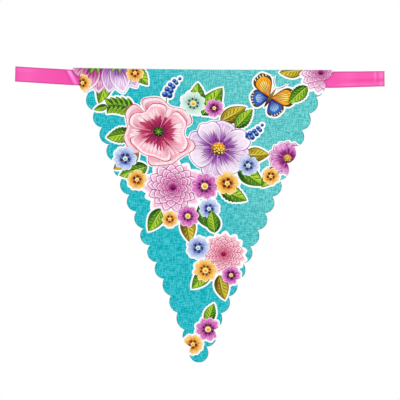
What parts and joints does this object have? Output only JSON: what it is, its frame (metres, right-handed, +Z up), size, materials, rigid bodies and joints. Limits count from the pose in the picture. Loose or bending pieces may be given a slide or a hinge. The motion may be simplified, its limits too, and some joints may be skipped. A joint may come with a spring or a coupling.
{
  "type": "bunting pennant",
  "caption": "Long triangular pennant of bunting with scalloped sides, its top edge turned over a flat satin ribbon that runs out at both ends.",
  "frame": {"origin": "middle of the top of the pennant's fold, in the ribbon's middle plane", "axes": "+X to the right seen from the printed front, +Y towards the back, +Z up"},
  "size_m": [0.2475, 0.0119, 0.1973],
  "materials": {
    "printed_cloth": "matt floral print on stiffened linen-look cloth, plain off-white back",
    "satin_ribbon": "pink double-face satin ribbon"
  },
  "bodies": {
    "root": {"pennant": "printed_cloth", "ribbon": "satin_ribbon"}
  },
  "joints": []
}
